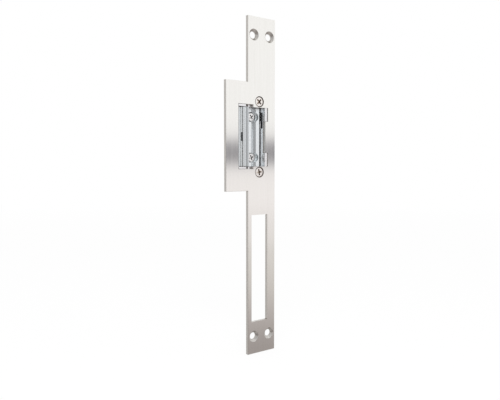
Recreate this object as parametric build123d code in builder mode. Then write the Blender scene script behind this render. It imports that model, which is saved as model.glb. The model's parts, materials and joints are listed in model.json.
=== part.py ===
from build123d import *
import os
from math import cos, radians, sin

# Electric door strike, fail-secure, with a long lipped faceplate.  Millimetres, +Z up.
# X runs to the right seen from the front, +Y runs into the door jamb.
# The origin is the centre of the four fixing holes, in the back face of the 250 x 25 strip,
# which lies on the jamb.  The sketches below measure every depth from the front face of the
# strip instead, and save() moves each finished piece from one to the other.

# ---- faceplate ----
PLATE_H = 250.0
PLATE_W = 25.0
PLATE_T = 2.5
LIP_REACH = 19.25                       # how far the lip stands out past the strip
LIP_LOW = -2.0
LIP_H = 79.5
BODY_Z = LIP_LOW + LIP_H / 2            # mid height of the lip, the cut-out and the body
FIXING_DX = 14.2
FIXING_DZ = 223.6
FIXING_R = 2.6
FIXING_SINK_R = 4.2
WINDOW_X = -1.9
WINDOW_W = 14.7
WINDOW_LOW = -100.7
WINDOW_H = 80.7
CUT_LEFT = -21.0
CUT_STEP = -7.6                         # the taller left part of the cut-out ends here
CUT_RIGHT = 3.5
CUT_TALL = 47.3
CUT_LOW = 43.5
NOTCH_RIGHT = 5.95
NOTCH_IN = 11.6                         # nearest edge of each ear notch from mid height
EDGE = 0.2

# ---- body screws through the faceplate, M4 with flat heads ----
M4_X = -2.0
M4_DZ = 52.0
M4_R = 2.0
M4_HEAD_R = 3.4
M4_CROSS = 4.7
HEAD_RIM = 0.1                          # straight rim of a flat head
HEAD_SET = 0.45                         # how deep the head sits in its countersink
M4_LENGTH = 11.5
M4_SINK_R = 4.0
SINK_ANGLE = 90
CROSS_ARM = 0.27                        # arm of a cross recess as a share of its width
CROSS_TAPER = 8
SCREW_TIP = 0.5                         # chamfer at the end of a flat-head screw
M4_TURN = (10.0, 45.0)                  # how far each cross recess is turned, lower then upper

# ---- housing ----
HOUSING_LEFT = -23.2
HOUSING_RIGHT = 5.0
HOUSING_BACK = 26.8
SLOPE_START = 15.0                      # the left wall slopes in from here to the back
BACK_LEFT = -14.4
WALL = 1.5
HOUSING_H = 66.0
CAVITY_LEFT = -22.0
CAVITY_RIGHT = 3.0
CAVITY_H = 43.8
CAVITY_BACK = 12.6                      # the keeper turns in front of this depth
REAR_H = 62.0
CHEEK_LEFT = -20.6
CHEEK_RIGHT = -14.2
CHEEK_FRONT = 0.2
CHEEK_FOOT = -10.6                      # right end of each cheek where it meets the plate's back
CHEEK_T = 1.5
EAR_TOP = 21.6
EAR_LOW = 11.75
RUN = 0.05                              # radial clearance of a running fit
SNUG = 0.02                             # radial clearance of a pressed or screwed fit
CABLE_R = 2.6                           # opening for the supply cable in the top end
CABLE_Y = 22.6

# ---- keeper: pin, casting and adjustable insert ----
PIN_X = -16.8
PIN_Y = 7.0
PIN_R = 1.25
PIN_HALF = 27.0
KEEPER_H = 42.9
FLANK_R = 4.75                          # round flank that sweeps past the faceplate edge
FLANK_REACH = 3.3                       # how far the flank goes to the left of the pin
NOSE_LEFT = -17.85
NOSE_RIGHT = -14.7
NOSE_FRONT = -0.8
SHOULDER = ((NOSE_LEFT, 1.6), (-17.2, 0.85), (-17.0, 0.05))  # left side of the nose, sloped then steep
HUB_HALF = 2.5
HUB_FRONT = 2.8                         # the hub reaches this far in front of the pin
BASE_FRONT = 9.05
BASE_BACK = 12.0
BASE_RIGHT = 1.9
TAIL_TIP = 15.4
TAIL_LEFT = 1.5                         # the tail starts this far to the left of the pin
TAIL_W = 14.5                           # height of the tail above mid height
TAIL_H = 3.0
SPRING_GAP = 6.4                        # opening at mid height for the return spring
SPRING_ROOM_R = 2.6
NOSE_SLOT_FRONT = 0.15
NOSE_SLOT_ACROSS = (-17.7, -15.6)
STOP_REACH = 1.8                        # stop in the housing for the fixed leg of this spring
STOP_T = 1.5
STOP_H = 5.2
INSERT_H = 43.3
INSERT_LEFT = -14.1
INSERT_WALL = 2.15
INSERT_FRONT = -0.5                     # right edge of the wall's front
INSERT_CORNER = 0.5                     # left edge of it, deeper
INSERT_BULGE = 0.08                     # the front curves out this far between the two
INSERT_RIGHT = 2.5
INSERT_ROUND = 0.2
POCKET_DEPTH = 6.5
INSERT_BACK = 9.0
INSERT_SCREW_X = -4.65
INSERT_SCREW_DZ = 30.2
RECESS_L = 12.3
RECESS_H = 7.2
RECESS_DEPTH = 1.5
RECESS_TAPER = 18
SLOT_L = 5.9
M3_R = 1.5
M3_HEAD_R = 3.0
M3_HEAD_H = 1.15
M3_CROSS = 3.6
GROOVE = ((-5.0, POCKET_DEPTH), (-2.1, POCKET_DEPTH + 0.9), (-0.55, POCKET_DEPTH))
RIDGE_DEPTH = 5.7                       # the floor rises to this depth at its right end

# ---- coil, yoke and armature (axis of the coil along Z) ----
COIL_X = -5.8
COIL_Y = 18.95
COIL_LOW = -29.4                        # heights from here on are measured from mid height
COIL_TOP = -7.6
FLANGE_X = 11.2
FLANGE_Y = 11.2
FLANGE_T = 1.0
CORE_R = 2.5
CORE_TOP = -6.3
TUBE_R = 3.2
WINDING_R = 5.2
YOKE_W = 10.4
YOKE_T = 1.6
YOKE_BACK = 26.4
HINGE_Y = 25.0
HINGE_W = -3.3
HINGE_R = 0.6
BARREL_R = 1.3
YOKE_SCREW_HEAD_R = 2.75
YOKE_SINK_R = 3.0
YOKE_SCREW_LENGTH = 8.5
YOKE_SCREW_CROSS = 3.0
EAR_T = 1.1                             # ears of the yoke that hold the armature's hinge pin
EAR_FOOT = 1.9
EAR_HEAD = 1.4
ARM_W = 7.8
ARM_T = 1.5
ARM_FRONT = 14.0
CATCH_LEFT = -15.0
CATCH_RIGHT = -13.5
CATCH_TOP = -1.9

# ---- blocking lever ----
LEVER_X = -11.9
LEVER_W = 4.0
LEVER_PIN_R = 1.2
LEVER_FRONT = 13.3
LEVER_T = 2.0
LEVER_FOOT = -2.2
PAD_LEFT = -14.4
WEB_FRONT = 17.6                        # web across the housing that carries the lever pin
WEB_BACK = 20.0
WEB_LEFT = -18.4
WEB_LOW = 0.5
WEB_TOP = 9.0
LUG_ACROSS = (-6.6, -4.4)               # lug on the web that stops the lever spring
LUG_REACH = 2.2
LUG_LOW = 6.3

# ---- day-latch slider in the right wall ----
SKIN = 3.9                              # inner skin of the right wall ends here
SLIDER_T = 0.95
SLIDER_TRAVEL = 5.5
KNOB_FRONT = 3.1
KNOB_BACK = 5.9
KNOB_LOW = 12.4
KNOB_TOP = 18.4
STEM_FRONT = 13.5
STEM_BACK = 16.5
STEM_LOW = 3.0
FINGER_END = -2.5
FINGER_FRONT = 14.5
FINGER_T = 2.0
SLIDER_GAP = 0.2
LEAF_ROOM = 1.9                         # room behind the stem for the leaf spring
LEAF_HALF = 5.0
LEAF_RISE = 1.6
LEAF_T = 0.3
GRIP_DEPTH = 0.45                       # grip grooves across the upper part of the knob
GRIP_W = 0.6
GRIP_STEP = 1.1
GRIP_COUNT = 4

# ---- covers ----
COVER_T = 1.2
SIDE_T = 0.8
BOSS_R = 2.1
BOSS_PLACES = ((-11.0, 29.2), (2.1, 29.2), (2.1, -29.2))
BOSS_BORE = 8.0
M25_R = 1.1
M25_HEAD_R = 2.1
M25_HEAD_H = 1.3
M25_LENGTH = 7.0
SCREW_EYE_R = 2.2                       # openings in the rear cover over the terminal screws
SIDE_FRONT = 4.0
SIDE_H = 64.0
SIDE_ROUND = 1.2
SIDE_SCREW_Y = 8.0
SIDE_SCREW_DZ = 58.0
M2_R = 1.0
M2_HEAD_R = 1.9
M2_HEAD_H = 1.0
M2_LENGTH = 5.0

# ---- terminals ----
BLOCK_LEFT = -12.3
BLOCK_W = 11.0
BLOCK_FRONT = 19.0
BLOCK_BACK = 26.4
BLOCK_LOW = 16.0
BLOCK_TOP = 26.4
CLAMP_X = (-9.5, -4.1)
CLAMP_W = 4.4                           # each clamp's room in the block
CLAMP_FRONT = 20.2
CLAMP_BACK = 25.0
CLAMP_GAP = 0.1
CLAMP_IN = 2.5                          # how far each clamp lies inside the ends of the block
WIRE_HALF = 1.5                         # the tunnel for the wire
WIRE_FRONT = 21.3
WIRE_BACK = 24.0
TERMINAL_R = 1.25
TERMINAL_HEAD_R = 1.8
TERMINAL_HEAD_H = 1.0
TERMINAL_LENGTH = 1.9
DRIVER_R = 2.0
LEAD_R = 0.45
LEAD_Y = (22.7, 20.9)                   # where each lead leaves the bobbin
LEAD_END_Y = 22.3
LEAD_BEND = 2.0


def at(height):
    """Z of a height measured from the middle of the body."""
    return BODY_Z + height


def seen_from_front(depth=0.0):
    """Plane facing the front at this depth: local x is X, local y is Z, material lies behind it."""
    return Plane.XZ.offset(-depth)


def save(piece, label):
    """Write a piece, moved so that the back face of the faceplate is at Y = 0."""
    placed = piece.part.translate((0, -PLATE_T, 0))
    placed.label = label
    export_step(placed, f"parts/{label}.step")


def slab(piece_x, piece_y, low, high, mode=Mode.ADD):
    """Block between two X, two Y and two Z values."""
    with BuildSketch(Plane.XY.offset(low), mode=Mode.PRIVATE) as outline:
        with Locations(((piece_x[0] + piece_x[1]) / 2, (piece_y[0] + piece_y[1]) / 2)):
            Rectangle(piece_x[1] - piece_x[0], piece_y[1] - piece_y[0])
    extrude(outline.sketch, amount=high - low, mode=mode)


def cross_recess(width, depth):
    """Two crossed tapering slots, as a cross-head driver leaves room for."""
    with BuildPart() as recess:
        for turn in (0, 90):
            with BuildSketch():
                Rectangle(width, width * CROSS_ARM, rotation=turn)
            extrude(amount=-depth, taper=CROSS_TAPER)
    return recess.part


def flat_head_screw(shank_r, head_r, length, recess_w):
    """Countersunk screw: top of the head at the origin, pointing down -Z."""
    sink = head_r - shank_r
    with BuildPart() as screw:
        with BuildSketch(Plane.XZ):
            with BuildLine():
                Polyline((0, 0), (head_r, 0), (head_r, -HEAD_RIM), (shank_r, -HEAD_RIM - sink),
                         (shank_r, SCREW_TIP - length), (shank_r - SCREW_TIP, -length), (0, -length),
                         close=True)
            make_face()
        revolve(axis=Axis.Z)
        add(cross_recess(recess_w, shank_r), mode=Mode.SUBTRACT)
    return screw.part


def pan_head_screw(shank_r, head_r, head_h, length, recess_w):
    """Cheese-headed screw: seat of the head at the origin, pointing down -Z."""
    with BuildPart() as screw:
        Cylinder(head_r, head_h, align=(Align.CENTER, Align.CENTER, Align.MIN))
        fillet(screw.edges().group_by(Axis.Z)[-1], head_h * 0.35)
        Cylinder(shank_r, length, align=(Align.CENTER, Align.CENTER, Align.MAX))
        with Locations((0, 0, head_h)):
            add(cross_recess(recess_w, head_h * 0.8), mode=Mode.SUBTRACT)
    return screw.part


def put(label, piece, places):
    """Node of identical pieces, one at each place."""
    with BuildPart() as group:
        with Locations(*places):
            add(piece)
    save(group, label)


def facing_front(x, depth, height, turn=0.0):
    """Place of a screw driven in from the front, its cross turned by this many degrees."""
    return Plane((x, depth, at(height)), x_dir=(cos(radians(turn)), 0, sin(radians(turn))),
                 z_dir=(0, -1, 0)).location


def facing_back(x, depth, height):
    return Plane((x, depth, at(height)), x_dir=(1, 0, 0), z_dir=(0, 1, 0)).location


os.makedirs("parts", exist_ok=True)

# ---- faceplate: strip and lip, window, cut-out with ear notches, countersunk holes ----
with BuildPart() as faceplate:
    with BuildSketch(seen_from_front()):
        Rectangle(PLATE_W, PLATE_H)
        with Locations((-(PLATE_W + LIP_REACH) / 2, BODY_Z)):
            Rectangle(LIP_REACH, LIP_H)
        with Locations((WINDOW_X, WINDOW_LOW + WINDOW_H / 2)):
            Rectangle(WINDOW_W, WINDOW_H, mode=Mode.SUBTRACT)
        with Locations(((CUT_LEFT + CUT_STEP) / 2, BODY_Z)):
            Rectangle(CUT_STEP - CUT_LEFT, CUT_TALL, mode=Mode.SUBTRACT)
        with Locations(((CUT_STEP + CUT_RIGHT) / 2, BODY_Z)):
            Rectangle(CUT_RIGHT - CUT_STEP, CUT_LOW, mode=Mode.SUBTRACT)
        for side in (-1, 1):
            notch_h = CUT_LOW / 2 - NOTCH_IN
            with Locations(((CUT_RIGHT + NOTCH_RIGHT) / 2, at(side * (NOTCH_IN + notch_h / 2)))):
                Rectangle(NOTCH_RIGHT - CUT_RIGHT, notch_h, mode=Mode.SUBTRACT)
    extrude(amount=-PLATE_T)
    fillet(faceplate.faces().sort_by(Axis.Y)[0].outer_wire().edges(), EDGE)
    with Locations(seen_from_front()):
        with GridLocations(FIXING_DX, FIXING_DZ, 2, 2):
            CounterSinkHole(FIXING_R, FIXING_SINK_R, counter_sink_angle=SINK_ANGLE)
        with Locations((M4_X, BODY_Z)):
            with GridLocations(1, M4_DZ, 1, 2):
                CounterSinkHole(M4_R + RUN, M4_SINK_R, counter_sink_angle=SINK_ANGLE)
save(faceplate, "faceplate")

put(
    "body_screws",
    flat_head_screw(M4_R, M4_HEAD_R, M4_LENGTH, M4_CROSS),
    [facing_front(M4_X, HEAD_SET, side * M4_DZ / 2, M4_TURN[i]) for i, side in enumerate((-1, 1))],
)

# ---- housing: die-cast box, front cavity for the keeper, rear room for the coil ----
SLOPE = (BACK_LEFT - HOUSING_LEFT) / (HOUSING_BACK - SLOPE_START)
WALL_ACROSS = WALL * (1 + SLOPE**2) ** 0.5      # thickness of the sloping wall along X
with BuildPart() as housing:
    with BuildSketch(Plane.XY.offset(at(-HOUSING_H / 2))):
        with BuildLine():
            Polyline((HOUSING_LEFT, PLATE_T), (HOUSING_LEFT, SLOPE_START), (BACK_LEFT, HOUSING_BACK),
                     (HOUSING_RIGHT, HOUSING_BACK), (HOUSING_RIGHT, PLATE_T), close=True)
        make_face()
    extrude(amount=HOUSING_H)
    fillet(housing.edges().filter_by(Axis.Y), WALL)
    slab((CAVITY_LEFT, CAVITY_RIGHT), (PLATE_T, CAVITY_BACK), at(-CAVITY_H / 2), at(CAVITY_H / 2),
         mode=Mode.SUBTRACT)
    with BuildSketch(Plane.XY.offset(at(-REAR_H / 2))):
        with BuildLine():
            Polyline((HOUSING_LEFT + WALL, CAVITY_BACK),
                     (HOUSING_LEFT + WALL, SLOPE_START - (WALL_ACROSS - WALL) / SLOPE),
                     (BACK_LEFT + WALL_ACROSS, HOUSING_BACK), (CAVITY_RIGHT, HOUSING_BACK),
                     (CAVITY_RIGHT, CAVITY_BACK), close=True)
        make_face()
    extrude(amount=REAR_H, mode=Mode.SUBTRACT)
    # cheeks at both ends of the keeper and ears at the right, both reaching into the cut-out
    for side in (-1, 1):
        with BuildSketch(Plane.XY.offset(at(side * (CAVITY_H / 2 + CHEEK_T / 2) - CHEEK_T / 2))):
            with BuildLine():
                Polyline((CHEEK_LEFT, PLATE_T), (CHEEK_LEFT, CHEEK_FRONT), (CHEEK_RIGHT, CHEEK_FRONT),
                         (CHEEK_FOOT, PLATE_T), close=True)
            make_face()
        extrude(amount=CHEEK_T)
        low, high = sorted((side * EAR_LOW, side * EAR_TOP))
        slab((CAVITY_RIGHT, HOUSING_RIGHT), (0, PLATE_T), at(low), at(high))
    # stop for the fixed leg of the keeper spring, inside the left wall
    slab((CAVITY_LEFT, CAVITY_LEFT + STOP_REACH), (PIN_Y - 0.2, PIN_Y - 0.2 + STOP_T),
         at(-STOP_H / 2), at(STOP_H / 2))
    # web that carries the lever pin, and the stop for the lever spring
    slab((WEB_LEFT, CAVITY_RIGHT), (WEB_FRONT, WEB_BACK), at(WEB_LOW), at(WEB_TOP))
    slab(LUG_ACROSS, (WEB_FRONT - LUG_REACH, WEB_FRONT), at(LUG_LOW), at(WEB_TOP))
    # bosses for the rear cover screws
    with BuildSketch(seen_from_front(CAVITY_BACK)):
        with Locations(*[(x, at(height)) for x, height in BOSS_PLACES]):
            Circle(BOSS_R)
    extrude(amount=-(HOUSING_BACK - CAVITY_BACK))
    with Locations(*[facing_back(x, HOUSING_BACK, height) for x, height in BOSS_PLACES]):
        Hole(M25_R + SNUG, depth=BOSS_BORE)
    # threaded bores for the body screws
    with Locations(seen_from_front(PLATE_T)):
        with Locations((M4_X, BODY_Z)):
            with GridLocations(1, M4_DZ, 1, 2):
                Hole(M4_R + SNUG, depth=CAVITY_BACK - PLATE_T)
    # bore of the keeper pin, open at the top end for fitting
    with Locations((PIN_X, PIN_Y, at(HOUSING_H / 2))):
        Hole(PIN_R + SNUG, depth=HOUSING_H / 2 + PIN_HALF)
    # bore of the lever pin
    with Locations(Plane((LEVER_X, WEB_FRONT, at(LEVER_W)), x_dir=(1, 0, 0), z_dir=(0, -1, 0))):
        Hole(LEVER_PIN_R + SNUG, depth=WEB_BACK - WEB_FRONT)
    # cable entry through the top end, yoke screw through the bottom end
    with Locations(((CLAMP_X[0] + CLAMP_X[1]) / 2, CABLE_Y, at(HOUSING_H / 2))):
        Hole(CABLE_R, depth=(HOUSING_H - REAR_H) / 2)
    with Locations(Plane((COIL_X, COIL_Y, at(-HOUSING_H / 2)), x_dir=(1, 0, 0), z_dir=(0, 0, -1))):
        CounterSinkHole(M3_R + RUN, YOKE_SINK_R, depth=(HOUSING_H - REAR_H) / 2,
                        counter_sink_angle=SINK_ANGLE)
    # channel for the slider in the outer side of the right wall, and its two openings
    knob_range = (at(KNOB_LOW - SLIDER_TRAVEL - SLIDER_GAP), at(KNOB_TOP + SLIDER_GAP))
    finger_range = (at(STEM_LOW - SLIDER_TRAVEL - SLIDER_GAP), at(STEM_LOW + FINGER_T + SLIDER_GAP))
    slab((SKIN, HOUSING_RIGHT), (KNOB_FRONT - SLIDER_GAP, STEM_BACK + LEAF_ROOM), *knob_range,
         mode=Mode.SUBTRACT)
    slab((SKIN, HOUSING_RIGHT), (STEM_FRONT - SLIDER_GAP, STEM_BACK + LEAF_ROOM), finger_range[0],
         knob_range[1], mode=Mode.SUBTRACT)
    slab((CAVITY_RIGHT, SKIN), (KNOB_FRONT - SLIDER_GAP, KNOB_BACK + SLIDER_GAP), *knob_range,
         mode=Mode.SUBTRACT)
    slab((CAVITY_RIGHT, SKIN), (FINGER_FRONT - SLIDER_GAP, STEM_BACK + SLIDER_GAP), *finger_range,
         mode=Mode.SUBTRACT)
    # threaded bores for the side cover screws
    with Locations(Plane((HOUSING_RIGHT, SIDE_SCREW_Y, BODY_Z), x_dir=(0, 1, 0), z_dir=(1, 0, 0))):
        with GridLocations(1, SIDE_SCREW_DZ, 1, 2):
            Hole(M2_R + SNUG, depth=M2_LENGTH)
save(housing, "housing")

# ---- rear cover and its screws ----
with BuildPart() as rear_cover:
    with BuildSketch(seen_from_front(HOUSING_BACK)):
        with Locations(((BACK_LEFT + HOUSING_RIGHT) / 2, BODY_Z)):
            RectangleRounded(HOUSING_RIGHT - BACK_LEFT, HOUSING_H, WALL)
        with Locations(*[(x, at(height)) for x, height in BOSS_PLACES]):
            Circle(M25_R + 0.15, mode=Mode.SUBTRACT)
        for clamp_x in CLAMP_X:
            with Locations((clamp_x, at((BLOCK_LOW + BLOCK_TOP) / 2))):
                Circle(SCREW_EYE_R, mode=Mode.SUBTRACT)
    extrude(amount=-COVER_T)
save(rear_cover, "rear_cover")

put(
    "cover_screws",
    pan_head_screw(M25_R, M25_HEAD_R, M25_HEAD_H, M25_LENGTH, M25_HEAD_R * 1.15),
    [facing_back(x, HOUSING_BACK + COVER_T, height) for x, height in BOSS_PLACES],
)

# ---- side cover over the slider channel ----
with BuildPart() as side_cover:
    slab((HOUSING_RIGHT, HOUSING_RIGHT + SIDE_T), (SIDE_FRONT, HOUSING_BACK), at(-SIDE_H / 2), at(SIDE_H / 2))
    fillet(side_cover.edges().filter_by(Axis.X), SIDE_ROUND)
    with Locations(Plane((HOUSING_RIGHT + SIDE_T, SIDE_SCREW_Y, BODY_Z), x_dir=(0, 1, 0), z_dir=(1, 0, 0))):
        with GridLocations(1, SIDE_SCREW_DZ, 1, 2):
            Hole(M2_R + 2 * RUN)
save(side_cover, "side_cover")

put(
    "side_cover_screws",
    pan_head_screw(M2_R, M2_HEAD_R, M2_HEAD_H, M2_LENGTH, M2_HEAD_R * 1.15),
    [Plane((HOUSING_RIGHT + SIDE_T, SIDE_SCREW_Y, at(side * SIDE_SCREW_DZ / 2)), x_dir=(0, 1, 0),
           z_dir=(1, 0, 0)).location for side in (-1, 1)],
)

# ---- keeper casting: nose, round flank, hub on the pin, base plate and tail ----
def on_flank(left):
    """Point of the flank this far to the left of the pin."""
    return PIN_X - left, PIN_Y - (FLANK_R**2 - left**2) ** 0.5


with BuildPart() as keeper:
    with BuildSketch(Plane.XY.offset(at(-KEEPER_H / 2))):
        with BuildLine():
            Polyline(on_flank(PIN_X - NOSE_LEFT), *SHOULDER, (NOSE_RIGHT, NOSE_FRONT),
                     (NOSE_RIGHT, BASE_FRONT), (BASE_RIGHT, BASE_FRONT), (BASE_RIGHT, BASE_BACK),
                     (PIN_X - TAIL_LEFT, BASE_BACK), (PIN_X - HUB_HALF, PIN_Y + HUB_HALF),
                     (PIN_X - HUB_HALF, PIN_Y - HUB_FRONT), on_flank(FLANK_REACH))
            ThreePointArc(on_flank(FLANK_REACH), on_flank(FLANK_REACH / 2), on_flank(PIN_X - NOSE_LEFT))
        make_face()
    extrude(amount=KEEPER_H)
    fillet(keeper.edges().filter_by(Axis.Z).filter_by_position(Axis.X, NOSE_RIGHT - 0.1, NOSE_RIGHT + 0.1)
           .sort_by(Axis.Y)[0], 0.3)
    slab((PIN_X - TAIL_LEFT, NOSE_RIGHT - 0.1), (BASE_BACK, TAIL_TIP), at(TAIL_W - TAIL_H / 2),
         at(TAIL_W + TAIL_H / 2))
    # room for the return spring at mid height, open at the left and through the left of the nose
    slab((PIN_X - 4.0, PIN_X), (PIN_Y - SPRING_ROOM_R, PIN_Y + SPRING_ROOM_R + 0.3),
         at(-SPRING_GAP / 2), at(SPRING_GAP / 2), mode=Mode.SUBTRACT)
    with Locations((PIN_X, PIN_Y, BODY_Z)):
        Cylinder(SPRING_ROOM_R, SPRING_GAP, mode=Mode.SUBTRACT)
    slab(NOSE_SLOT_ACROSS, (NOSE_SLOT_FRONT, PIN_Y - SPRING_ROOM_R + 0.2),
         at(-SPRING_GAP / 2), at(SPRING_GAP / 2), mode=Mode.SUBTRACT)
    with Locations((PIN_X, PIN_Y, at(KEEPER_H / 2))):
        Hole(PIN_R + RUN)
    with Locations(seen_from_front(BASE_FRONT)):
        with Locations((INSERT_SCREW_X, BODY_Z)):
            with GridLocations(1, INSERT_SCREW_DZ, 1, 2):
                Hole(M3_R + SNUG, depth=BASE_BACK - BASE_FRONT)
save(keeper, "keeper")

# ---- keeper insert: wall that holds the latch, pocket floor, groove, two slotted recesses ----
with BuildPart() as keeper_insert:
    with BuildSketch(Plane.XY.offset(at(-INSERT_H / 2))):
        with BuildLine():
            Polyline((INSERT_LEFT + INSERT_WALL, INSERT_FRONT), (INSERT_LEFT + INSERT_WALL, POCKET_DEPTH),
                     *GROOVE, (INSERT_RIGHT, RIDGE_DEPTH), (INSERT_RIGHT, INSERT_BACK),
                     (INSERT_LEFT, INSERT_BACK), (INSERT_LEFT, INSERT_CORNER))
            ThreePointArc((INSERT_LEFT, INSERT_CORNER),
                          (INSERT_LEFT + INSERT_WALL / 2, (INSERT_CORNER + INSERT_FRONT) / 2 - INSERT_BULGE),
                          (INSERT_LEFT + INSERT_WALL, INSERT_FRONT))
        make_face()
    extrude(amount=INSERT_H)
    upright = keeper_insert.edges().filter_by(Axis.Z)
    left_corner = upright.sort_by(Axis.X)[:2].sort_by(Axis.Y)[0]
    right_corner = upright.sort_by(Axis.Y)[0]
    fillet([left_corner, right_corner], INSERT_ROUND)
    fillet(keeper_insert.edges().filter_by(Axis.Z).sort_by(Axis.X)[-2:].sort_by(Axis.Y)[0], 0.4)
    with BuildSketch(seen_from_front(POCKET_DEPTH), mode=Mode.PRIVATE) as recess_outline:
        with Locations((INSERT_SCREW_X, BODY_Z)):
            with GridLocations(1, INSERT_SCREW_DZ, 1, 2):
                SlotOverall(RECESS_L, RECESS_H)
    extrude(recess_outline.sketch, amount=-RECESS_DEPTH, taper=RECESS_TAPER, mode=Mode.SUBTRACT)
    extrude(recess_outline.sketch, amount=POCKET_DEPTH - RIDGE_DEPTH, mode=Mode.SUBTRACT)
    with BuildSketch(seen_from_front(POCKET_DEPTH)):
        with Locations((INSERT_SCREW_X, BODY_Z)):
            with GridLocations(1, INSERT_SCREW_DZ, 1, 2):
                SlotOverall(SLOT_L, 2 * M3_R + 0.3)
    extrude(amount=-(INSERT_BACK - POCKET_DEPTH), mode=Mode.SUBTRACT)
save(keeper_insert, "keeper_insert")

put(
    "insert_screws",
    pan_head_screw(M3_R, M3_HEAD_R, M3_HEAD_H, BASE_BACK - POCKET_DEPTH - RECESS_DEPTH - 0.1, M3_CROSS),
    [facing_front(INSERT_SCREW_X, POCKET_DEPTH + RECESS_DEPTH, side * INSERT_SCREW_DZ / 2, turn)
     for side, turn in ((-1, 20), (1, 35))],
)

with BuildPart() as keeper_pin:
    with Locations((PIN_X, PIN_Y, BODY_Z)):
        Cylinder(PIN_R, 2 * PIN_HALF)
    chamfer(keeper_pin.edges(), 0.3)
save(keeper_pin, "keeper_pin")


def torsion_spring(coil_r, wire_r, turns, pitch, start_leg, end_leg):
    """Coil about Z, starting on the X axis, with a straight leg at each end."""
    with BuildPart() as spring:
        with BuildLine() as path:
            coil = Helix(pitch=pitch, height=turns * pitch, radius=coil_r)
            Line(coil @ 0 - (coil % 0) * start_leg, coil @ 0)
            Line(coil @ 1, coil @ 1 + (coil % 1) * end_leg)
        with BuildSketch(Plane(origin=coil @ 0 - (coil % 0) * start_leg, z_dir=coil % 0)):
            Circle(wire_r)
        sweep(path=path.wires()[0], is_frenet=True)
    return spring.part


put(
    "keeper_spring",
    torsion_spring(coil_r=1.75, wire_r=0.3, turns=6, pitch=0.72, start_leg=1.2, end_leg=4.4),
    [Plane((PIN_X, PIN_Y, at(-2.2)), x_dir=(0, 1, 0), z_dir=(0, 0, 1)).location],
)

# ---- coil: bobbin, winding, core and yoke ----
with BuildPart() as coil_bobbin:
    for low in (COIL_LOW, COIL_TOP - FLANGE_T):
        slab((COIL_X - FLANGE_X / 2, COIL_X + FLANGE_X / 2), (COIL_Y - FLANGE_Y / 2, COIL_Y + FLANGE_Y / 2),
             at(low), at(low + FLANGE_T))
    fillet(coil_bobbin.edges().filter_by(Axis.Z), 0.8)
    with Locations((COIL_X, COIL_Y, at(COIL_LOW))):
        Cylinder(TUBE_R, COIL_TOP - COIL_LOW, align=(Align.CENTER, Align.CENTER, Align.MIN))
    with Locations((COIL_X, COIL_Y, at(COIL_TOP))):
        Hole(CORE_R + RUN)
save(coil_bobbin, "coil_bobbin")

with BuildPart() as coil_winding:
    with Locations((COIL_X, COIL_Y, at(COIL_LOW + FLANGE_T))):
        Cylinder(WINDING_R, COIL_TOP - COIL_LOW - 2 * FLANGE_T, align=(Align.CENTER, Align.CENTER, Align.MIN))
    with Locations((COIL_X, COIL_Y, at(COIL_TOP))):
        Hole(TUBE_R)
save(coil_winding, "coil_winding")

with BuildPart() as coil_core:
    with Locations((COIL_X, COIL_Y, at(COIL_LOW))):
        Cylinder(CORE_R, CORE_TOP - COIL_LOW, align=(Align.CENTER, Align.CENTER, Align.MIN))
    chamfer(coil_core.edges().group_by(Axis.Z)[-1], 0.25)
    with Locations(Plane((COIL_X, COIL_Y, at(COIL_LOW)), x_dir=(1, 0, 0), z_dir=(0, 0, -1))):
        Hole(M3_R + SNUG, depth=6)
save(coil_core, "coil_core")

YOKE_LEFT = COIL_X - YOKE_W / 2
YOKE_RIGHT = COIL_X + YOKE_W / 2
YOKE_FRONT = COIL_Y - FLANGE_Y / 2
with BuildPart() as coil_yoke:
    slab((YOKE_LEFT, YOKE_RIGHT), (YOKE_FRONT, YOKE_BACK), at(COIL_LOW - YOKE_T), at(COIL_LOW))
    slab((YOKE_LEFT, YOKE_RIGHT), (YOKE_BACK - YOKE_T, YOKE_BACK), at(COIL_LOW), at(HINGE_W - EAR_FOOT))
    for left in (YOKE_LEFT, YOKE_RIGHT - EAR_T):
        slab((left, left + EAR_T), (HINGE_Y - EAR_HEAD, YOKE_BACK), at(HINGE_W - EAR_FOOT),
             at(HINGE_W + EAR_HEAD))
    fillet(coil_yoke.edges().filter_by(Axis.X).group_by(Axis.Z)[0].sort_by(Axis.Y)[-1], 1.2)
    with Locations(Plane((YOKE_LEFT, HINGE_Y, at(HINGE_W)), x_dir=(0, 1, 0), z_dir=(-1, 0, 0))):
        Hole(HINGE_R + SNUG)
    with Locations((COIL_X, COIL_Y, at(COIL_LOW))):
        Hole(M3_R + RUN, depth=YOKE_T)
save(coil_yoke, "coil_yoke")

put(
    "yoke_screw",
    flat_head_screw(M3_R, YOKE_SCREW_HEAD_R, YOKE_SCREW_LENGTH, YOKE_SCREW_CROSS),
    [Plane((COIL_X, COIL_Y, at(-HOUSING_H / 2 + HEAD_RIM)), x_dir=(1, 0, 0), z_dir=(0, 0, -1)).location],
)

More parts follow.
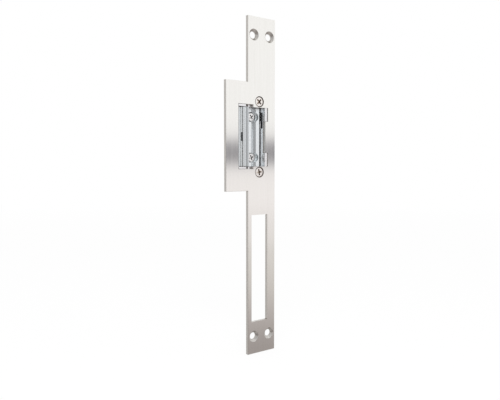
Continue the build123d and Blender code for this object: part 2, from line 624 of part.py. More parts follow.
# ---- armature on its hinge pin, with the catch that blocks the lever ----
ARM_LEFT = COIL_X - ARM_W / 2
ARM_RIGHT = COIL_X + ARM_W / 2
BARREL_RIGHT = ARM_RIGHT - 2.2          # leaves room for the spring beside the barrel
ARM_NARROW = HINGE_Y - 4.0
ARM_LOW = HINGE_W - BARREL_R
with BuildPart() as armature:
    slab((ARM_LEFT, ARM_RIGHT), (ARM_FRONT, ARM_NARROW), at(ARM_LOW), at(ARM_LOW + ARM_T))
    slab((ARM_LEFT, BARREL_RIGHT), (ARM_NARROW, HINGE_Y), at(ARM_LOW), at(ARM_LOW + ARM_T))
    with Locations(Plane((ARM_LEFT, HINGE_Y, at(HINGE_W)), x_dir=(0, 1, 0), z_dir=(1, 0, 0))):
        Cylinder(BARREL_R, BARREL_RIGHT - ARM_LEFT, align=(Align.CENTER, Align.CENTER, Align.MIN))
    slab((CATCH_LEFT, ARM_LEFT), (ARM_FRONT, ARM_FRONT + ARM_T), at(ARM_LOW), at(ARM_LOW + ARM_T))
    slab((CATCH_LEFT, CATCH_RIGHT), (ARM_FRONT, ARM_FRONT + ARM_T), at(ARM_LOW), at(CATCH_TOP))
    with Locations(Plane((ARM_LEFT, HINGE_Y, at(HINGE_W)), x_dir=(0, 1, 0), z_dir=(-1, 0, 0))):
        Hole(HINGE_R + RUN)
save(armature, "armature")

# thin brass pad that stops the armature sticking to the core
PAD_R = 1.6
PAD_T = 0.15
with BuildPart() as armature_pad:
    with Locations((COIL_X, COIL_Y, at(ARM_LOW))):
        Cylinder(PAD_R, PAD_T, align=(Align.CENTER, Align.CENTER, Align.MAX))
save(armature_pad, "armature_pad")

with BuildPart() as armature_pin:
    with Locations(Plane((YOKE_LEFT - 0.3, HINGE_Y, at(HINGE_W)), x_dir=(0, 1, 0), z_dir=(1, 0, 0))):
        Cylinder(HINGE_R, YOKE_W + 0.6, align=(Align.CENTER, Align.CENTER, Align.MIN))
save(armature_pin, "armature_pin")

put(
    "armature_spring",
    torsion_spring(coil_r=1.55, wire_r=0.17, turns=2.25, pitch=0.42, start_leg=5.0, end_leg=3.6),
    [Plane((BARREL_RIGHT + 0.45, HINGE_Y, at(HINGE_W)), x_dir=(0, 0, -1), z_dir=(1, 0, 0)).location],
)

# ---- blocking lever on its pin ----
PEG_R = 0.6                              # peg under one leg of the lever spring
PEG_X = LEVER_X - 3.1
PEG_W = LEVER_W + 0.95
WAIST = 2.0                              # half width of the lever at its pin
FOOT_HALF = 1.0
EYE_R = 2.6
PAD_HALF = 2.4                           # half height of the pad that holds the keeper's tail
PAD_W = 2.6
with BuildPart() as blocking_lever:
    with BuildSketch(seen_from_front(LEVER_FRONT)):
        with BuildLine():
            Polyline((LEVER_X - FOOT_HALF, at(LEVER_FOOT)), (LEVER_X + FOOT_HALF, at(LEVER_FOOT)),
                     (LEVER_X + WAIST, at(LEVER_W)), (PAD_LEFT + PAD_W, at(TAIL_W + PAD_HALF)),
                     (PAD_LEFT + 0.6, at(TAIL_W + PAD_HALF)), (PAD_LEFT, at(TAIL_W + 1.6)),
                     (PAD_LEFT, at(TAIL_W - 1.6)), (PAD_LEFT + 0.6, at(TAIL_W - PAD_HALF)),
                     (LEVER_X - WAIST, at(LEVER_W + 2.4)), (LEVER_X - WAIST, at(LEVER_W - 1.2)), close=True)
        make_face()
        with Locations((LEVER_X, at(LEVER_W))):
            Circle(EYE_R)
            Circle(LEVER_PIN_R + RUN, mode=Mode.SUBTRACT)
        with Locations(((PEG_X + LEVER_X - WAIST) / 2, at(PEG_W))):
            Rectangle(LEVER_X - WAIST - PEG_X, 2 * PEG_R)
    extrude(amount=-LEVER_T)
    with BuildSketch(seen_from_front(LEVER_FRONT)):
        with Locations((PEG_X, at(PEG_W))):
            Circle(PEG_R)
    extrude(amount=-(LEVER_T + 1.2))
save(blocking_lever, "blocking_lever")

PIN_END = LEVER_FRONT - 0.8
CLIP_Y = LEVER_FRONT - 0.5
NECK_R = 0.9                             # groove of the pin, where the clip sits
NECK_W = 0.45
CLIP_R = 2.2
CLIP_GAP = 1.5
with BuildPart() as lever_pin:
    with Locations(Plane((LEVER_X, PIN_END, at(LEVER_W)), x_dir=(1, 0, 0), z_dir=(0, 1, 0))):
        Cylinder(LEVER_PIN_R, WEB_BACK - PIN_END, align=(Align.CENTER, Align.CENTER, Align.MIN))
    with BuildSketch(seen_from_front(CLIP_Y)):
        with Locations((LEVER_X, at(LEVER_W))):
            Circle(LEVER_PIN_R)
            Circle(NECK_R, mode=Mode.SUBTRACT)
    extrude(amount=-NECK_W, mode=Mode.SUBTRACT)
save(lever_pin, "lever_pin")

# retaining clip in the groove of the lever pin, open at one side
with BuildPart() as lever_clip:
    with BuildSketch(seen_from_front(CLIP_Y + RUN / 2)):
        with Locations((LEVER_X, at(LEVER_W))):
            Circle(CLIP_R)
            Circle(NECK_R + RUN, mode=Mode.SUBTRACT)
        with Locations((LEVER_X, at(LEVER_W) + CLIP_R / 2 + NECK_R / 2)):
            Rectangle(CLIP_GAP, CLIP_R + NECK_R / 2, mode=Mode.SUBTRACT)
    extrude(amount=-(NECK_W - RUN))
save(lever_clip, "lever_clip")

put(
    "lever_spring",
    torsion_spring(coil_r=1.9, wire_r=0.25, turns=2, pitch=0.6, start_leg=3.6, end_leg=6.4),
    [Plane((LEVER_X, LEVER_FRONT + LEVER_T + 0.45, at(LEVER_W)), x_dir=(0, 0, 1),
           z_dir=(0, 1, 0)).location],
)

# ---- day-latch slider with its leaf spring ----
SLIDER_LEFT = SKIN + RUN
KNOB_FACE = CAVITY_RIGHT + 0.1
with BuildPart() as day_latch_slider:
    slab((SLIDER_LEFT, SLIDER_LEFT + SLIDER_T), (KNOB_FRONT, STEM_BACK), at(KNOB_LOW), at(KNOB_TOP))
    slab((SLIDER_LEFT, SLIDER_LEFT + SLIDER_T), (STEM_FRONT, STEM_BACK), at(STEM_LOW), at(KNOB_LOW))
    slab((KNOB_FACE, SLIDER_LEFT), (KNOB_FRONT, KNOB_BACK), at(KNOB_LOW), at(KNOB_TOP))
    slab((FINGER_END, SLIDER_LEFT), (FINGER_FRONT, STEM_BACK), at(STEM_LOW), at(STEM_LOW + FINGER_T))
    for step in range(GRIP_COUNT):
        grip_top = at(KNOB_TOP - 0.5 - step * GRIP_STEP)
        slab((KNOB_FACE, KNOB_FACE + GRIP_DEPTH), (KNOB_FRONT, KNOB_BACK), grip_top - GRIP_W, grip_top,
             mode=Mode.SUBTRACT)
save(day_latch_slider, "day_latch_slider")

LEAF_Y = STEM_BACK + 0.1
LEAF_W = 11.0
with BuildPart() as slider_spring:
    with BuildSketch(Plane.YZ.offset(SLIDER_LEFT + 0.1)):
        with BuildLine():
            ThreePointArc((LEAF_Y, at(LEAF_W - LEAF_HALF)), (LEAF_Y + LEAF_RISE, at(LEAF_W)),
                          (LEAF_Y, at(LEAF_W + LEAF_HALF)))
            Line((LEAF_Y, at(LEAF_W + LEAF_HALF)), (LEAF_Y, at(LEAF_W + LEAF_HALF - 1)))
            ThreePointArc((LEAF_Y, at(LEAF_W + LEAF_HALF - 1)), (LEAF_Y + LEAF_RISE - LEAF_T, at(LEAF_W)),
                          (LEAF_Y, at(LEAF_W - LEAF_HALF + 1)))
            Line((LEAF_Y, at(LEAF_W - LEAF_HALF + 1)), (LEAF_Y, at(LEAF_W - LEAF_HALF)))
        make_face()
    extrude(amount=SLIDER_T - 0.2)
save(slider_spring, "slider_spring")

# ---- terminal block, clamps, screws and the two coil leads ----
with BuildPart() as terminal_block:
    slab((BLOCK_LEFT, BLOCK_LEFT + BLOCK_W), (BLOCK_FRONT, BLOCK_BACK), at(BLOCK_LOW), at(BLOCK_TOP))
    for clamp_x in CLAMP_X:
        slab((clamp_x - CLAMP_W / 2, clamp_x + CLAMP_W / 2), (CLAMP_FRONT, CLAMP_BACK), at(BLOCK_LOW),
             at(BLOCK_TOP), mode=Mode.SUBTRACT)
        with Locations(Plane((clamp_x, BLOCK_BACK, at((BLOCK_LOW + BLOCK_TOP) / 2)), x_dir=(1, 0, 0),
                             z_dir=(0, 1, 0))):
            Hole(DRIVER_R, depth=BLOCK_BACK - CLAMP_BACK)
save(terminal_block, "terminal_block")

with BuildPart() as terminal_clamps:
    for clamp_x in CLAMP_X:
        half = CLAMP_W / 2 - CLAMP_GAP
        slab((clamp_x - half, clamp_x + half), (CLAMP_FRONT + CLAMP_GAP, CLAMP_BACK - CLAMP_GAP),
             at(BLOCK_LOW + CLAMP_IN), at(BLOCK_TOP - CLAMP_IN))
        slab((clamp_x - WIRE_HALF, clamp_x + WIRE_HALF), (WIRE_FRONT, WIRE_BACK),
             at(BLOCK_LOW + CLAMP_IN), at(BLOCK_TOP - CLAMP_IN), mode=Mode.SUBTRACT)
        with Locations(Plane((clamp_x, CLAMP_BACK - CLAMP_GAP, at((BLOCK_LOW + BLOCK_TOP) / 2)),
                             x_dir=(1, 0, 0), z_dir=(0, 1, 0))):
            Hole(TERMINAL_R + SNUG, depth=CLAMP_BACK - CLAMP_GAP - WIRE_BACK)
save(terminal_clamps, "terminal_clamps")

put(
    "terminal_screws",
    pan_head_screw(TERMINAL_R, TERMINAL_HEAD_R, TERMINAL_HEAD_H, TERMINAL_LENGTH, TERMINAL_HEAD_R * 1.15),
    [facing_back(x, CLAMP_BACK - CLAMP_GAP / 2, (BLOCK_LOW + BLOCK_TOP) / 2) for x in CLAMP_X],
)

LEAD_X = COIL_X - FLANGE_X / 2 + 0.7
with BuildPart() as coil_leads:
    for lead_y, clamp_x in zip(LEAD_Y, CLAMP_X):
        with BuildLine() as route:
            FilletPolyline((LEAD_X, lead_y, at(COIL_TOP)), (LEAD_X, lead_y, at(6.0)),
                           (clamp_x, LEAD_END_Y, at(12.5)),
                           (clamp_x, LEAD_END_Y, at(BLOCK_LOW + CLAMP_IN - 0.2)), radius=LEAD_BEND)
        with BuildSketch(Plane.XY.offset(at(COIL_TOP))):
            with Locations((LEAD_X, lead_y)):
                Circle(LEAD_R)
        sweep(path=route.wires()[0])
save(coil_leads, "coil_leads")
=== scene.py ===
"""Electric door strike: materials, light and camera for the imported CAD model."""
import json
from math import pi, radians

import bpy
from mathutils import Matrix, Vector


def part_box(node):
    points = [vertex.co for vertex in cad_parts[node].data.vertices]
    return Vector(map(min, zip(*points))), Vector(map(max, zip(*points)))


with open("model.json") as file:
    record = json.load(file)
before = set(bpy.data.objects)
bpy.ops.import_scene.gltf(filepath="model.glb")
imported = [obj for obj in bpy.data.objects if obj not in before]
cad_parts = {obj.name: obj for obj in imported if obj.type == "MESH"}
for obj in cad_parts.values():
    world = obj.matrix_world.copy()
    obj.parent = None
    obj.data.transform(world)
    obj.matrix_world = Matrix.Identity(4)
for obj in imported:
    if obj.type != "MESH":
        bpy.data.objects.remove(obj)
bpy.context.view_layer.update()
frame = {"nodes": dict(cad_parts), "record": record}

MM = 0.001
PLATE_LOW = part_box("faceplate")[0]

# ---- camera: to the left of the plate, a little above the middle, looking slightly down ----
CAMERA_X = -0.2440
CAMERA_TO_PLATE = 0.3211                # in front of the faceplate's front face
CAMERA_Z = 0.0167
CAMERA_YAW = 36.0
CAMERA_PITCH = -3.66
LENS = 38.81
SENSOR_WIDTH = 36.0
CLIP_START = 0.01

camera_data = bpy.data.cameras.new("camera")
camera_data.lens = LENS
camera_data.sensor_width = SENSOR_WIDTH
camera_data.clip_start = CLIP_START
camera = bpy.data.objects.new("camera", camera_data)
camera.location = (CAMERA_X, PLATE_LOW.y - CAMERA_TO_PLATE, CAMERA_Z)
camera.rotation_euler = (radians(90.0 + CAMERA_PITCH), 0.0, radians(-CAMERA_YAW))
bpy.context.scene.collection.objects.link(camera)
bpy.context.scene.camera = camera
bpy.context.scene.view_settings.view_transform = "Standard"


# ---- node helpers ----
class Nodes:
    """Short calls for building one node tree."""

    def __init__(self, tree):
        self.tree = tree
        tree.nodes.clear()

    def add(self, kind, inputs=None, **settings):
        """New node; inputs maps socket names or numbers to values or to other sockets."""
        node = self.tree.nodes.new(kind)
        for key, value in settings.items():
            setattr(node, key, value)
        for key, value in (inputs or {}).items():
            socket = node.inputs[key]
            if isinstance(value, bpy.types.NodeSocket):
                self.tree.links.new(value, socket)
            else:
                socket.default_value = value
        return node

    def math(self, operation, a, b=0.0):
        return self.add("ShaderNodeMath", {0: a, 1: b}, operation=operation).outputs[0]

    def vector(self, operation, a, b):
        return self.add("ShaderNodeVectorMath", {0: a, 1: b}, operation=operation).outputs[0]

    def length(self, vector):
        return self.add("ShaderNodeVectorMath", {0: vector}, operation="LENGTH").outputs["Value"]

    def split(self, vector):
        """The three parts of a vector."""
        return tuple(self.add("ShaderNodeSeparateXYZ", {0: vector}).outputs)

    def blend(self, a, b, share):
        """Weighted sum of two values: this share of the first, and the rest of the second."""
        return self.math("ADD", self.math("MULTIPLY", a, share), self.math("MULTIPLY", b, 1.0 - share))

    def ramp(self, fac, stops):
        """Linear colour ramp; each stop is (position, colour or grey value)."""
        node = self.add("ShaderNodeValToRGB", {"Fac": fac})
        node.color_ramp.interpolation = "LINEAR"
        elements = node.color_ramp.elements
        while len(elements) < len(stops):
            elements.new(0.5)
        for element, (position, colour) in zip(elements, stops):
            element.position = position
            if not isinstance(colour, tuple):
                colour = (colour, colour, colour)
            element.color = (*colour, 1.0)
        return node.outputs["Color"]

    def remap(self, value, low, high, to_low=0.0, to_high=1.0):
        """Value moved from one range to another, and held inside it."""
        return self.add("ShaderNodeMapRange", {"Value": value, "From Min": low, "From Max": high,
                                               "To Min": to_low, "To Max": to_high}).outputs[0]

    def mix(self, fac, a, b, blend="MIX"):
        """Mix of two colours, each of them a socket or a plain colour."""
        node = self.add("ShaderNodeMix", {0: fac}, data_type="RGBA", blend_type=blend)
        for key, value in ((6, a), (7, b)):
            if isinstance(value, bpy.types.NodeSocket):
                self.tree.links.new(value, node.inputs[key])
            else:
                node.inputs[key].default_value = (*value, 1.0)
        return node.outputs[2]

    def noise(self, point, scale, detail, rough):
        return self.add("ShaderNodeTexNoise", {"Vector": point, "Scale": scale, "Detail": detail,
                                               "Roughness": rough}).outputs["Fac"]

    def straight_rays(self):
        """1 for rays from the camera and for those seen through something clear, else 0."""
        path = self.add("ShaderNodeLightPath")
        return self.math("MAXIMUM", path.outputs["Is Camera Ray"], path.outputs["Is Transmission Ray"])


def stretched(n, point, factors):
    """Coordinates scaled along each axis, so that noise on them turns into streaks."""
    return n.vector("MULTIPLY", point, factors)


def new_material(name):
    material = bpy.data.materials.new(name)
    material.use_nodes = True
    n = Nodes(material.node_tree)
    point = n.add("ShaderNodeTexCoord").outputs["Object"]
    return material, n, point


def surface_normal(n):
    return n.add("ShaderNodeNewGeometry").outputs["Normal"]


def rounded_normal(n, radius):
    return n.add("ShaderNodeBevel", {"Radius": radius}, samples=4).outputs[0]


def finish_material(n, colour, rough, height, bump, metallic=1.0, edge=0.0, tangent=None, **sockets):
    """Principled shader with bump and, where edge isn't 0, rounded edges; sockets take plain values."""
    inputs = {"Base Color": colour, "Roughness": rough, "Metallic": metallic}
    inputs.update(sockets)
    bump_inputs = {"Height": height, "Strength": 1.0, "Distance": bump}
    if edge:
        bump_inputs["Normal"] = rounded_normal(n, edge)
    inputs["Normal"] = n.add("ShaderNodeBump", bump_inputs).outputs[0]
    if isinstance(tangent, tuple):
        tangent = n.add("ShaderNodeCombineXYZ", dict(enumerate(tangent))).outputs[0]
    if tangent is not None:
        inputs["Tangent"] = tangent
    shader = n.add("ShaderNodeBsdfPrincipled", inputs)
    n.add("ShaderNodeOutputMaterial", {"Surface": shader.outputs[0]})


def recess_shade(n, colour, reach, amount, shade_colour, open_ao, shut_ao):
    """Painted shade over the colour in narrow recesses, from how open (open_ao to shut_ao) the
    surroundings are.
    """
    shade = n.add("ShaderNodeAmbientOcclusion", {"Distance": reach}, samples=8).outputs["AO"]
    return n.mix(n.math("MULTIPLY", n.remap(shade, open_ao, shut_ao), amount), colour, shade_colour)


def from_body_screw(n, point):
    """Distance, seen along Y, from the axis of the nearer body screw, and the radius of its head."""
    low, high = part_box("body_screws")
    middle = (low + high) / 2
    head_radius = (high.x - low.x) / 2
    spread = (high.z - low.z) / 2 - head_radius
    x, _, z = n.split(point)
    across = n.math("SUBTRACT", x, middle.x)
    above = n.math("SUBTRACT", n.math("ABSOLUTE", n.math("SUBTRACT", z, middle.z)), spread)
    return n.length(n.add("ShaderNodeCombineXYZ", {0: across, 1: above}).outputs[0]), head_radius


def edge_wear(n, radius, sharp):
    """1 at sharp edges and 0 on flat faces, from how far a rounded normal leaves the true one."""
    agree = n.add("ShaderNodeVectorMath", {0: rounded_normal(n, radius), 1: surface_normal(n)},
                  operation="DOT_PRODUCT").outputs["Value"]
    return n.remap(agree, 1.0, sharp)


# ---- materials: scales of noise are per metre, bump and edge widths are in metres ----
UPRIGHT = (0.04, 0.03, 1.0)             # a little off vertical, so that it never lies along a normal
LOW, HIGH = 0.3, 0.7                    # the range in which most of a noise's values lie


def brushed_steel():
    """Stainless plate brushed along its length: fine streaks, sideways blur, cut edges browner and
    darker (their own sheared tone plus painted shade), more painted shade in recesses and round the
    body screws' heads.
    """
    FLAT, CUT = 0.85, 0.72              # how far a face looks along Y: plate faces, cut faces
    RING_OUTSIDE, RING_INSIDE = 0.9 * MM, 0.75 * MM     # painted shade in the sink round each body screw's head
    material, n, point = new_material("brushed_stainless")
    hair = n.noise(stretched(n, point, (1.0, 1.0, 0.012)), scale=2600.0, detail=4.0, rough=0.6)
    streak = n.noise(stretched(n, point, (1.0, 1.0, 0.03)), scale=520.0, detail=3.0, rough=0.5)
    cloud = n.noise(stretched(n, point, (1.0, 1.0, 0.35)), scale=28.0, detail=2.0, rough=0.5)
    grain = n.blend(hair, streak, 0.6)
    tone = n.blend(grain, cloud, 0.75)
    colour = n.ramp(tone, [(LOW, (0.86, 0.85, 0.815)), (0.5, (0.90, 0.89, 0.857)),
                           (HIGH, (0.935, 0.925, 0.895))])
    facing = n.split(n.add("ShaderNodeTexCoord").outputs["Normal"])[1]
    cut = n.remap(n.math("ABSOLUTE", facing), FLAT, CUT)
    shear = n.noise(stretched(n, point, (1.0, 6.0, 1.0)), scale=700.0, detail=4.0, rough=0.65)
    # cut faces: their own browner sheared tone, set darker so that it also stands as painted shade
    cut_tone_and_shade = n.ramp(shear, [(LOW, (0.68, 0.655, 0.62)), (HIGH, (0.92, 0.895, 0.855))])
    # painted shade in narrow recesses of the cut faces
    cut_tone_and_shade = recess_shade(n, cut_tone_and_shade, reach=0.6 * MM, amount=0.8, shade_colour=(0.26, 0.20, 0.165),
                        open_ao=0.95, shut_ao=0.6)
    # painted shade: the sink ring round each body screw's head is darkened where the head shades it
    from_axis, head_radius = from_body_screw(n, point)
    sink_shade = n.remap(from_axis, head_radius + RING_OUTSIDE, head_radius + RING_INSIDE)
    cut_tone_and_shade = n.mix(sink_shade, cut_tone_and_shade, (0.13, 0.10, 0.085))
    colour = n.mix(cut, colour, cut_tone_and_shade)
    rough = n.math("ADD", n.remap(grain, LOW, HIGH, 0.11, 0.16), n.math("MULTIPLY", cut, 0.2))
    across = n.vector("CROSS_PRODUCT", surface_normal(n), (0.0, 0.0, 1.0))
    across = n.vector("ADD", across, (0.0, 0.02, 0.0))      # faces that look up or down get one too
    finish_material(n, colour, rough, grain, bump=0.004 * MM, tangent=across, Anisotropic=1.0)
    return material


def bright_zinc():
    """Bright zinc plate: nearly white with a blue cast, blurred along its height, polished edges."""
    material, n, point = new_material("bright_zinc")
    wave = n.noise(point, scale=160.0, detail=2.0, rough=0.5)
    mottle = n.noise(point, scale=900.0, detail=4.0, rough=0.6)
    colour = n.ramp(mottle, [(LOW, (0.90, 0.955, 0.98)), (HIGH, (0.95, 0.99, 1.0))])
    wear = edge_wear(n, 0.2 * MM, sharp=0.85)
    colour = n.mix(n.math("MULTIPLY", wear, 0.5), colour, (0.975, 0.985, 0.99))
    rough = n.remap(mottle, LOW, HIGH, 0.19, 0.23)
    height = n.math("ADD", wave, n.math("MULTIPLY", mottle, 0.06))
    finish_material(n, colour, rough, height, bump=0.008 * MM, edge=0.06 * MM, tangent=UPRIGHT,
                    Anisotropic=0.9)
    return material


def plated_screw(name, dark, light, shade_colour, open_ao, shaded_rim=False):
    """Plated screws: fine turning marks, bright edges, painted shade in the recess and, if asked,
    painted shade on the rim.
    """
    RIM_INSIDE, RIM_OUTSIDE = 0.3 * MM, 0.05 * MM
    material, n, point = new_material(name)
    mottle = n.noise(point, scale=1400.0, detail=4.0, rough=0.6)
    colour = n.ramp(mottle, [(LOW, dark), (HIGH, light)])
    wear = edge_wear(n, 0.15 * MM, sharp=0.85)
    colour = n.mix(n.math("MULTIPLY", wear, 0.4), colour, (0.99, 0.98, 0.96))
    # painted shade in the recesses of the head: its cross and the gap round it
    colour = recess_shade(n, colour, reach=1.0 * MM, amount=0.8, shade_colour=shade_colour, open_ao=open_ao, shut_ao=0.5)
    # painted shade on the rim of the head, where the plate's edge shades it
    if shaded_rim:
        from_axis, head_radius = from_body_screw(n, point)
        rim_shade = n.remap(from_axis, head_radius - RIM_INSIDE, head_radius - RIM_OUTSIDE)
        colour = n.mix(rim_shade, colour, (0.26, 0.205, 0.17))
    rough = n.remap(mottle, LOW, HIGH, 0.18, 0.32)
    finish_material(n, colour, rough, mottle, bump=0.01 * MM, edge=0.1 * MM)
    return material


def cast_zinc():
    """Plated zinc body casting: bright but mottled, with flow marks, pores and rubbed edges."""
    material, n, point = new_material("cast_zinc")
    flow = n.noise(stretched(n, point, (1.0, 1.0, 0.4)), scale=120.0, detail=5.0, rough=0.65)
    pores = n.noise(point, scale=1100.0, detail=5.0, rough=0.7)
    tone = n.blend(flow, pores, 0.45)
    colour = n.ramp(tone, [(0.36, (0.74, 0.74, 0.76)), (0.46, (0.90, 0.90, 0.915)),
                           (0.60, (0.975, 0.975, 0.98))])
    wear = edge_wear(n, 0.3 * MM, sharp=0.8)
    colour = n.mix(n.math("MULTIPLY", wear, n.remap(pores, 0.4, 0.6)), colour, (0.97, 0.97, 0.975))
    rough = n.remap(tone, 0.38, 0.60, 0.27, 0.19)
    finish_material(n, colour, rough, tone, bump=0.012 * MM, edge=0.1 * MM, tangent=UPRIGHT,
                    Anisotropic=0.8)
    return material


def plated_sheet():
    """Zinc-plated sheet: faint spangle and rolling marks."""
    material, n, point = new_material("plated_sheet")
    spangle = n.add("ShaderNodeTexVoronoi", {"Vector": point, "Scale": 420.0, "Randomness": 1.0},
                    feature="F1").outputs["Color"]
    patch = n.add("ShaderNodeSeparateColor", {"Color": spangle}).outputs[0]
    roll = n.noise(stretched(n, point, (1.0, 1.0, 0.05)), scale=900.0, detail=3.0, rough=0.6)
    tone = n.blend(patch, roll, 0.35)
    colour = n.ramp(tone, [(0.2, (0.58, 0.60, 0.625)), (0.75, (0.76, 0.78, 0.80))])
    wear = edge_wear(n, 0.2 * MM, sharp=0.85)
    colour = n.mix(n.math("MULTIPLY", wear, 0.5), colour, (0.88, 0.89, 0.90))
    rough = n.remap(tone, 0.2, 0.8, 0.26, 0.40)
    finish_material(n, colour, rough, roll, bump=0.015 * MM, edge=0.15 * MM)
    return material


def steel(name, dark, light, rough_low, rough_high):
    """Plain machined or drawn steel and its relatives."""
    material, n, point = new_material(name)
    mottle = n.noise(point, scale=1200.0, detail=4.0, rough=0.6)
    colour = n.ramp(mottle, [(LOW, dark), (HIGH, light)])
    rough = n.remap(mottle, LOW, HIGH, rough_low, rough_high)
    finish_material(n, colour, rough, mottle, bump=0.01 * MM)
    return material


def blackened_steel():
    """Blackened slider: mottled dark finish, worn to bare metal along its edges and raised ribs."""
    material, n, point = new_material("blackened_steel")
    mottle = n.noise(point, scale=1000.0, detail=4.0, rough=0.65)
    colour = n.ramp(mottle, [(LOW, (0.09, 0.09, 0.095)), (HIGH, (0.22, 0.22, 0.225))])
    wear = n.math("MULTIPLY", edge_wear(n, 0.25 * MM, sharp=0.85), n.remap(mottle, 0.35, 0.6))
    colour = n.mix(wear, colour, (0.70, 0.70, 0.70))
    rough = n.remap(mottle, LOW, HIGH, 0.30, 0.44)
    finish_material(n, colour, rough, mottle, bump=0.012 * MM, edge=0.08 * MM)
    return material


def copper_winding():
    """Enamelled wire laid turn beside turn round the bobbin, with painted shade between the turns."""
    WIRE = 0.25 * MM
    material, n, point = new_material("copper_winding")
    turns = n.math("SINE", n.math("MULTIPLY", n.split(point)[2], 2 * pi / WIRE))
    mottle = n.noise(point, scale=500.0, detail=3.0, rough=0.6)
    colour = n.ramp(mottle, [(LOW, (0.42, 0.14, 0.05)), (HIGH, (0.62, 0.24, 0.09))])
    # painted shade: the colour darkens between neighbouring turns of wire
    shade = n.remap(turns, -1.0, 1.0, 0.55, 1.0)
    turn_shade = n.add("ShaderNodeCombineColor", {0: shade, 1: shade, 2: shade}).outputs[0]
    colour = n.mix(1.0, colour, turn_shade, "MULTIPLY")
    finish_material(n, colour, n.remap(mottle, LOW, HIGH, 0.25, 0.38), turns, bump=0.05 * MM)
    return material


def plastic(name, dark, light, rough_low, rough_high):
    """Moulded plastic with a fine spark-eroded grain."""
    material, n, point = new_material(name)
    grain = n.noise(point, scale=2400.0, detail=3.0, rough=0.6)
    cloud = n.noise(point, scale=90.0, detail=2.0, rough=0.5)
    colour = n.ramp(n.blend(grain, cloud, 0.5), [(0.35, dark), (0.65, light)])
    rough = n.remap(grain, LOW, HIGH, rough_low, rough_high)
    finish_material(n, colour, rough, grain, bump=0.015 * MM, metallic=0.0, edge=0.1 * MM)
    return material


FINISHES = {
    "brushed_stainless": brushed_steel(),
    "bright_zinc": bright_zinc(),
    # the third colour of each screw finish is the painted shade in its recesses
    "plated_screw": plated_screw("plated_screw", (0.94, 0.90, 0.855), (0.99, 0.955, 0.91),
                                 (0.50, 0.40, 0.325), open_ao=0.95),
    "cast_zinc": cast_zinc(),
    "plated_sheet": plated_sheet(),
    "spring_steel": steel("spring_steel", (0.42, 0.42, 0.43), (0.62, 0.62, 0.63), 0.22, 0.34),
    "turned_steel": steel("turned_steel", (0.60, 0.60, 0.61), (0.78, 0.78, 0.79), 0.16, 0.28),
    "blackened_steel": blackened_steel(),
    "soft_iron": steel("soft_iron", (0.48, 0.48, 0.47), (0.66, 0.66, 0.65), 0.28, 0.42),
    "brass_pad": steel("brass_pad", (0.66, 0.49, 0.20), (0.80, 0.62, 0.29), 0.22, 0.34),
    "copper_winding": copper_winding(),
    "bobbin_plastic": plastic("bobbin_plastic", (0.035, 0.035, 0.037), (0.06, 0.06, 0.063),
                              0.38, 0.52),
    "terminal_plastic": plastic("terminal_plastic", (0.045, 0.048, 0.052), (0.075, 0.078, 0.083),
                                0.35, 0.48),
    "lead_insulation": plastic("lead_insulation", (0.42, 0.02, 0.02), (0.55, 0.035, 0.03),
                               0.32, 0.42),
}
# screws that differ from the others: the body screws with painted shade on their rims, the insert's
# with zinc plate and darker painted shade in their recesses
OWN_FINISHES = {
    "body_screws": plated_screw("body_screw", (0.95, 0.91, 0.865), (1.0, 0.965, 0.92),
                                (0.60, 0.50, 0.42), open_ao=0.95, shaded_rim=True),
    "insert_screws": plated_screw("zinc_screw", (0.92, 0.92, 0.91), (0.98, 0.98, 0.975),
                                  (0.12, 0.11, 0.10), open_ao=0.8),
}
for row in frame["record"]["subparts"]:
    finish = OWN_FINISHES.get(row["node"], FINISHES[row["material_slot"]])
    for slot in frame["nodes"][row["node"]].material_slots:
        slot.material = finish

# ---- floor: plain and pale, under the lower end of the plate ----
FLOOR_HALF = 6.0
FLOOR_GAP = 0.3 * MM
FLOOR_COLOUR = (0.95, 0.95, 0.95, 1.0)
WHITE = (1.0, 1.0, 1.0, 1.0)
FLOOR_GLOW = 0.9                        # share of the floor's white that the shadow can't darken
FLOOR_NEAR, FLOOR_FAR = 0.3, 1.6        # the floor turns fully white between these distances

floor_mesh = bpy.data.meshes.new("floor")
floor_z = PLATE_LOW.z - FLOOR_GAP
corners = [(x * FLOOR_HALF, y * FLOOR_HALF, floor_z) for x, y in ((-1, -1), (1, -1), (1, 1), (-1, 1))]
floor_mesh.from_pydata(corners, [], [(0, 1, 2, 3)])
floor = bpy.data.objects.new("floor", floor_mesh)
bpy.context.scene.collection.objects.link(floor)
floor.visible_glossy = False

floor_material, n, point = new_material("floor")
matt = n.add("ShaderNodeBsdfDiffuse", {"Color": FLOOR_COLOUR})
white = n.add("ShaderNodeEmission", {"Color": WHITE, "Strength": 1.0})
glow = n.remap(n.length(point), FLOOR_NEAR, FLOOR_FAR, FLOOR_GLOW, 1.0)
mixed = n.add("ShaderNodeMixShader", {0: n.math("MULTIPLY", n.straight_rays(), glow),
                                      1: matt.outputs[0], 2: white.outputs[0]})
n.add("ShaderNodeOutputMaterial", {"Surface": mixed.outputs[0]})
floor_mesh.materials.append(floor_material)

# ---- world: white to the camera; round the object a bright studio with a dark strip at eye level ----
RISE_LIMIT = 60.0
TURN_LIMIT = 180.0
SIDE_WALL = (0.70, 0.69, 0.68)          # plain wall to the left, without the strip

world = bpy.data.worlds.new("studio")
bpy.context.scene.world = world
world.use_nodes = True
n = Nodes(world.node_tree)
across, along, up = n.split(n.add("ShaderNodeTexCoord").outputs["Generated"])
DEGREES = 180.0 / pi
rise = n.math("MULTIPLY", n.math("ARCSINE", up), DEGREES)
turn = n.math("MULTIPLY", n.math("ARCTAN2", across, n.math("MULTIPLY", along, -1.0)), DEGREES)


def profile(value, limit, stops):
    """Ramp through (degrees, level or colour) between -limit and +limit."""
    place = n.remap(value, -limit, limit)
    return n.ramp(place, [((degrees + limit) / (2 * limit), level) for degrees, level in stops])


def tinted(level, green_loss, blue_loss):
    """Light of this level whose green and blue are weaker than its red by these shares."""
    return level, level * (1 - green_loss), level * (1 - blue_loss)


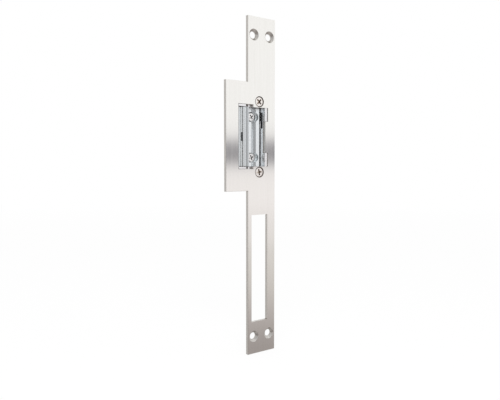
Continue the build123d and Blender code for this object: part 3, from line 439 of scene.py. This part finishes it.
# by height above the horizon, and by direction: 0 in front of the plate, above 0 to its right
by_rise = profile(rise, RISE_LIMIT, [
    (-60.0, tinted(0.60, 0.05, 0.07)),
    (-30.0, tinted(0.48, 0.08, 0.10)),
    (-19.0, tinted(0.37, 0.09, 0.115)),
    (-17.2, tinted(0.435, 0.085, 0.105)),
    (-15.2, tinted(0.53, 0.075, 0.095)),
    (-13.0, tinted(0.64, 0.055, 0.085)),
    (-10.0, tinted(0.733, 0.04, 0.07)),
    (-8.9, tinted(0.748, 0.04, 0.06)),
    (-7.9, tinted(0.823, 0.04, 0.05)),
    (-5.8, tinted(0.874, 0.04, 0.04)),
    (-3.7, tinted(0.95, 0.035, 0.03)),
    (-1.0, tinted(0.94, 0.03, 0.025)),
    (-0.3, tinted(0.87, 0.025, 0.01)),
    (0.3, tinted(0.51, 0.02, -0.02)),
    (0.8, tinted(0.325, 0.025, -0.04)),
    (1.8, tinted(0.315, 0.025, -0.04)),
    (2.5, tinted(0.535, 0.02, -0.02)),
    (3.1, tinted(0.92, 0.01, 0.0)),
    (4.5, tinted(0.99, 0.005, 0.0)),
    (60.0, tinted(1.0, 0.0, 0.0)),
])
by_turn = profile(turn, TURN_LIMIT, [
    (-180.0, 0.80),
    (-144.0, 0.82),
    (-110.0, 0.80),
    (-62.0, 0.78),
    (-46.0, 0.42),
    (-18.0, 0.42),
    (-9.0, 0.64),
    (-3.0, 0.78),
    (4.0, 1.0),
    (60.0, 1.0),
    (100.0, 0.88),
    (180.0, 0.80),
])
beside = profile(turn, TURN_LIMIT, [
    (-180.0, 0.0),
    (-165.0, 1.0),
    (-115.0, 1.0),
    (-90.0, 0.0),
    (180.0, 0.0),
])
room = n.mix(1.0, by_rise, by_turn, "MULTIPLY")
room = n.mix(beside, room, SIDE_WALL)
lit = n.mix(n.straight_rays(), room, (1.0, 1.0, 1.0))
background = n.add("ShaderNodeBackground", {"Color": lit, "Strength": 1.0})
n.add("ShaderNodeOutputWorld", {"Surface": background.outputs[0]})

# ---- lamp: a soft light from the front left, above ----
KEY_PLACE = Vector((-0.5, -0.7, 0.8))
KEY_AIM = Vector((0.0, 0.0, 0.03))
KEY_SIZE = (0.7, 0.5)
KEY_POWER = 7.0

key_data = bpy.data.lights.new("key", "AREA")
key_data.shape = "RECTANGLE"
key_data.size, key_data.size_y = KEY_SIZE
key_data.energy = KEY_POWER
key = bpy.data.objects.new("key", key_data)
key.location = KEY_PLACE
key.rotation_euler = (KEY_AIM - KEY_PLACE).to_track_quat("-Z", "Y").to_euler()
key.visible_glossy = False
bpy.context.scene.collection.objects.link(key)
